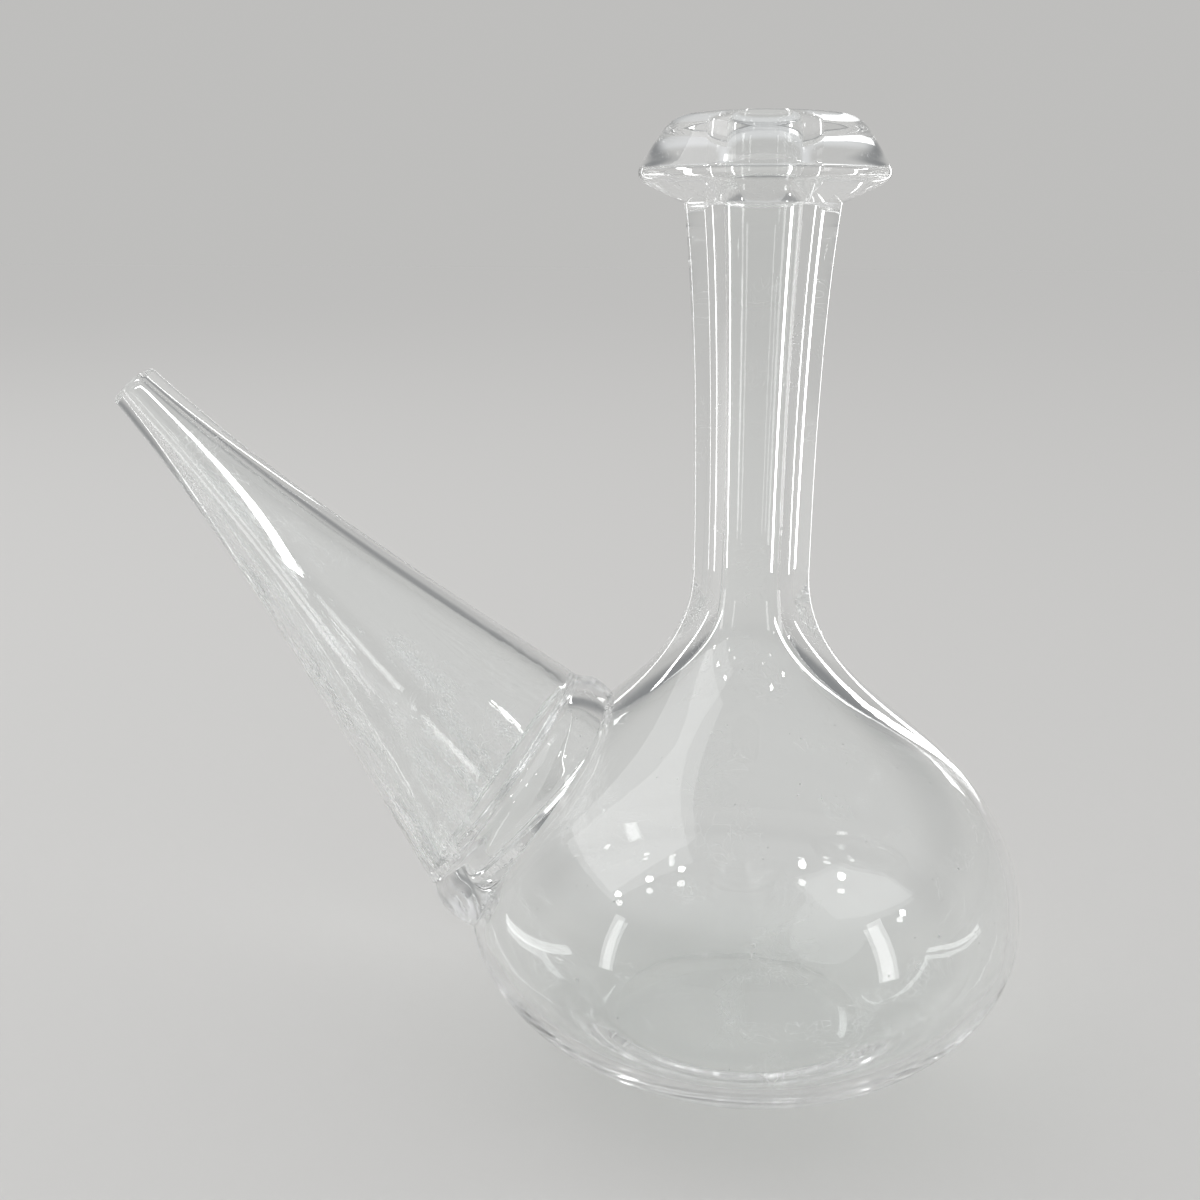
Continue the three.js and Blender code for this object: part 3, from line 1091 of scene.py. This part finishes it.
def floor_material(look):
    material, build = material_tree("studio_floor")
    place = build.add("ShaderNodeTexCoord").outputs["Object"]
    grain = noise(build, place, 400.0, 3.0)
    bump = build.add("ShaderNodeBump", {"Strength": 0.15, "Distance": 0.0002, "Height": grain})
    inputs = {"Base Color": (*look.floor, 1), "Specular IOR Level": 0.0, "Normal": bump}
    shader = build.add("ShaderNodeBsdfPrincipled", inputs)
    build.add("ShaderNodeOutputMaterial", {"Surface": shader})
    return material


def blended(build, share, first, second):
    """A mix of two colours; either may be plain or a socket."""
    mix = build.add("ShaderNodeMix", {"Factor": share}, data_type="RGBA")
    for place, given in ((6, first), (7, second)):
        plain = not isinstance(given, bpy.types.NodeSocket)
        build.plug(mix.inputs[place], (*given, 1) if plain else given)
    return mix.outputs[2]


def studio_world(look):
    """Even light for the matt floor, and a backdrop that glass mirrors and shows behind it.

    The ramps run over parts of a unit direction: Z upwards, and Y away from the camera.
    """
    world = bpy.data.worlds.new("studio")
    world.use_nodes = True
    world.node_tree.nodes.clear()
    build = Tree(world.node_tree)
    way = build.add("ShaderNodeTexCoord").outputs["Generated"]
    parts = build.add("ShaderNodeSeparateXYZ", {0: way}).outputs
    low = blended(build, ramp(build, parts["Z"], 0.14, 0.34), look.horizon, look.dusk)
    sky = blended(build, ramp(build, parts["Y"], 0.3, 0.5), look.zenith, look.horizon)
    backdrop = blended(build, ramp(build, parts["Z"], 0.4, 0.6), low, sky)
    shown = build.add("ShaderNodeBackground", {"Color": backdrop, "Strength": 1.0})
    even = build.add("ShaderNodeBackground", {"Color": (1, 1, 1, 1), "Strength": look.ambient})
    path = build.add("ShaderNodeLightPath").outputs
    in_glass = build.math("MAXIMUM", path["Is Glossy Ray"], path["Is Transmission Ray"])
    seen = build.math("MAXIMUM", path["Is Camera Ray"], in_glass)
    mixed = build.add("ShaderNodeMixShader", {0: seen, 1: even, 2: shown})
    build.add("ShaderNodeOutputWorld", {"Surface": mixed})
    return world


def around(azimuth, rise, distance):
    """A place seen from the glass in the given direction, in degrees."""
    azimuth, rise = math.radians(azimuth), math.radians(rise)
    level = distance * math.cos(rise)
    place = (level * math.cos(azimuth), level * math.sin(azimuth), distance * math.sin(rise))
    return Vector(place) + AIM


def lamp(name, width, height, place, brightness):
    """A softbox, or a round lamp where the height is 0, turned to the glass.

    `brightness` is what the glass mirrors, with white paper in full light as 1.
    """
    light = bpy.data.lights.new(name, "AREA")
    light.shape = "RECTANGLE" if height else "DISK"
    light.size = width
    light.size_y = height or width
    area = width * height or math.pi * width**2 / 4
    light.energy = brightness * math.pi * area
    lit = add_object(name, light)
    lit.location = place
    lit.rotation_euler = (AIM - Vector(place)).to_track_quat("-Z", "Y").to_euler()
    return lit


def photograph_camera():
    """The camera at the place that the photograph was taken from."""
    place = (0, -0.35511, 0.22457)
    pitch, yaw, roll = math.radians(15.239), math.radians(6.5), math.radians(0.183)
    data = bpy.data.cameras.new("camera")
    data.sensor_width = 36
    data.lens = 40.87
    data.clip_start = 0.01
    made = add_object("camera", data)
    turns = ((yaw, "Z"), (math.pi / 2 - pitch, "X"), (roll, "Z"))
    made.matrix_world = Matrix.Translation(place)
    for turn, axis in turns:
        made.matrix_world = made.matrix_world @ Matrix.Rotation(turn, 4, axis)
    return made


class PORRON_OT_stage(bpy.types.Operator):
    """Pale floor, soft lights, backdrop and camera"""

    bl_idname = "porron.stage"
    bl_label = "Stage"

    def execute(self, context):
        scene = context.scene
        look = scene.porron_studio
        reach, depth = 8.0, 0.0002
        corners = [(-reach, -reach), (reach, -reach), (reach, reach), (-reach, reach)]
        mesh = bpy.data.meshes.new("studio_floor")
        mesh.from_pydata([(x, y, -depth) for x, y in corners], [], [(0, 1, 2, 3)])
        mesh.materials.append(floor_material(look))
        add_object("studio_floor", mesh)
        scene.world = studio_world(look)
        softbox_side, softbox_brightness = 1.4, 1.4
        lamp("softbox_above", softbox_side, softbox_side, (-1.3, -0.2, 1.7), softbox_brightness)
        strip_height, strip_brightness = 0.32, 4
        for name, width, place in (
            ("strip_left", 0.05, (-0.48, -0.42, 0.17)),
            ("strip_right", 0.07, (0.5, -0.34, 0.17)),
            ("rim_left", 0.02, around(122, 7, 0.5)),
            ("rim_right", 0.035, around(62, 7, 0.5)),
        ):
            lit = lamp(name, width, strip_height, place, strip_brightness)
            lit.visible_diffuse = False
        bulb, away, bulb_brightness = 0.06, 1.2, 30
        bulbs = ((-146, 31), (-137, 43), (-124, 52), (-18, 20), (-32, 44), (-48, 54))
        for i, (azimuth, rise) in enumerate(bulbs):
            lit = lamp(f"lamp_{i + 1}", bulb, 0, around(azimuth, rise, away), bulb_brightness)
            lit.visible_diffuse = False
        scene.camera = photograph_camera()
        scene.view_settings.view_transform = "Standard"
        bounces = 96
        for kind in ("max", "glossy", "transmission", "transparent_max"):
            setattr(scene.cycles, kind + "_bounces", bounces)
        return {"FINISHED"}


class PORRON_PT_panel(bpy.types.Panel):
    bl_idname = "PORRON_PT_panel"
    bl_label = "Glass porron"
    bl_space_type = "VIEW_3D"
    bl_region_type = "UI"
    bl_category = "Porron"

    def draw(self, context):
        for made in OPERATORS:
            self.layout.operator(made.bl_idname)
        for name, group in GROUPS.items():
            box = self.layout.box()
            box.label(text=group.__name__)
            for key in group.__annotations__:
                box.prop(getattr(context.scene, name), key)


GROUPS = {
    "porron_vessel": VesselSizes,
    "porron_lip": LipSizes,
    "porron_spout": SpoutSizes,
    "porron_collar": CollarSizes,
    "porron_glass": GlassLook,
    "porron_studio": StudioLook,
}
OPERATORS = (
    PORRON_OT_vessel,
    PORRON_OT_lip,
    PORRON_OT_collar,
    PORRON_OT_spout,
    PORRON_OT_seeds,
    PORRON_OT_stage,
)


def register():
    for group in (*GROUPS.values(), *OPERATORS, PORRON_PT_panel):
        bpy.utils.register_class(group)
    for name, group in GROUPS.items():
        setattr(bpy.types.Scene, name, PointerProperty(type=group))


def unregister():
    for name in GROUPS:
        delattr(bpy.types.Scene, name)
    for group in reversed((*GROUPS.values(), *OPERATORS, PORRON_PT_panel)):
        bpy.utils.unregister_class(group)


def main():
    register()
    bpy.ops.porron.vessel()
    bpy.ops.porron.lip()
    bpy.ops.porron.collar()
    bpy.ops.porron.spout()
    bpy.ops.porron.seeds()
    bpy.ops.porron.stage()


if __name__ == "__main__":
    main()
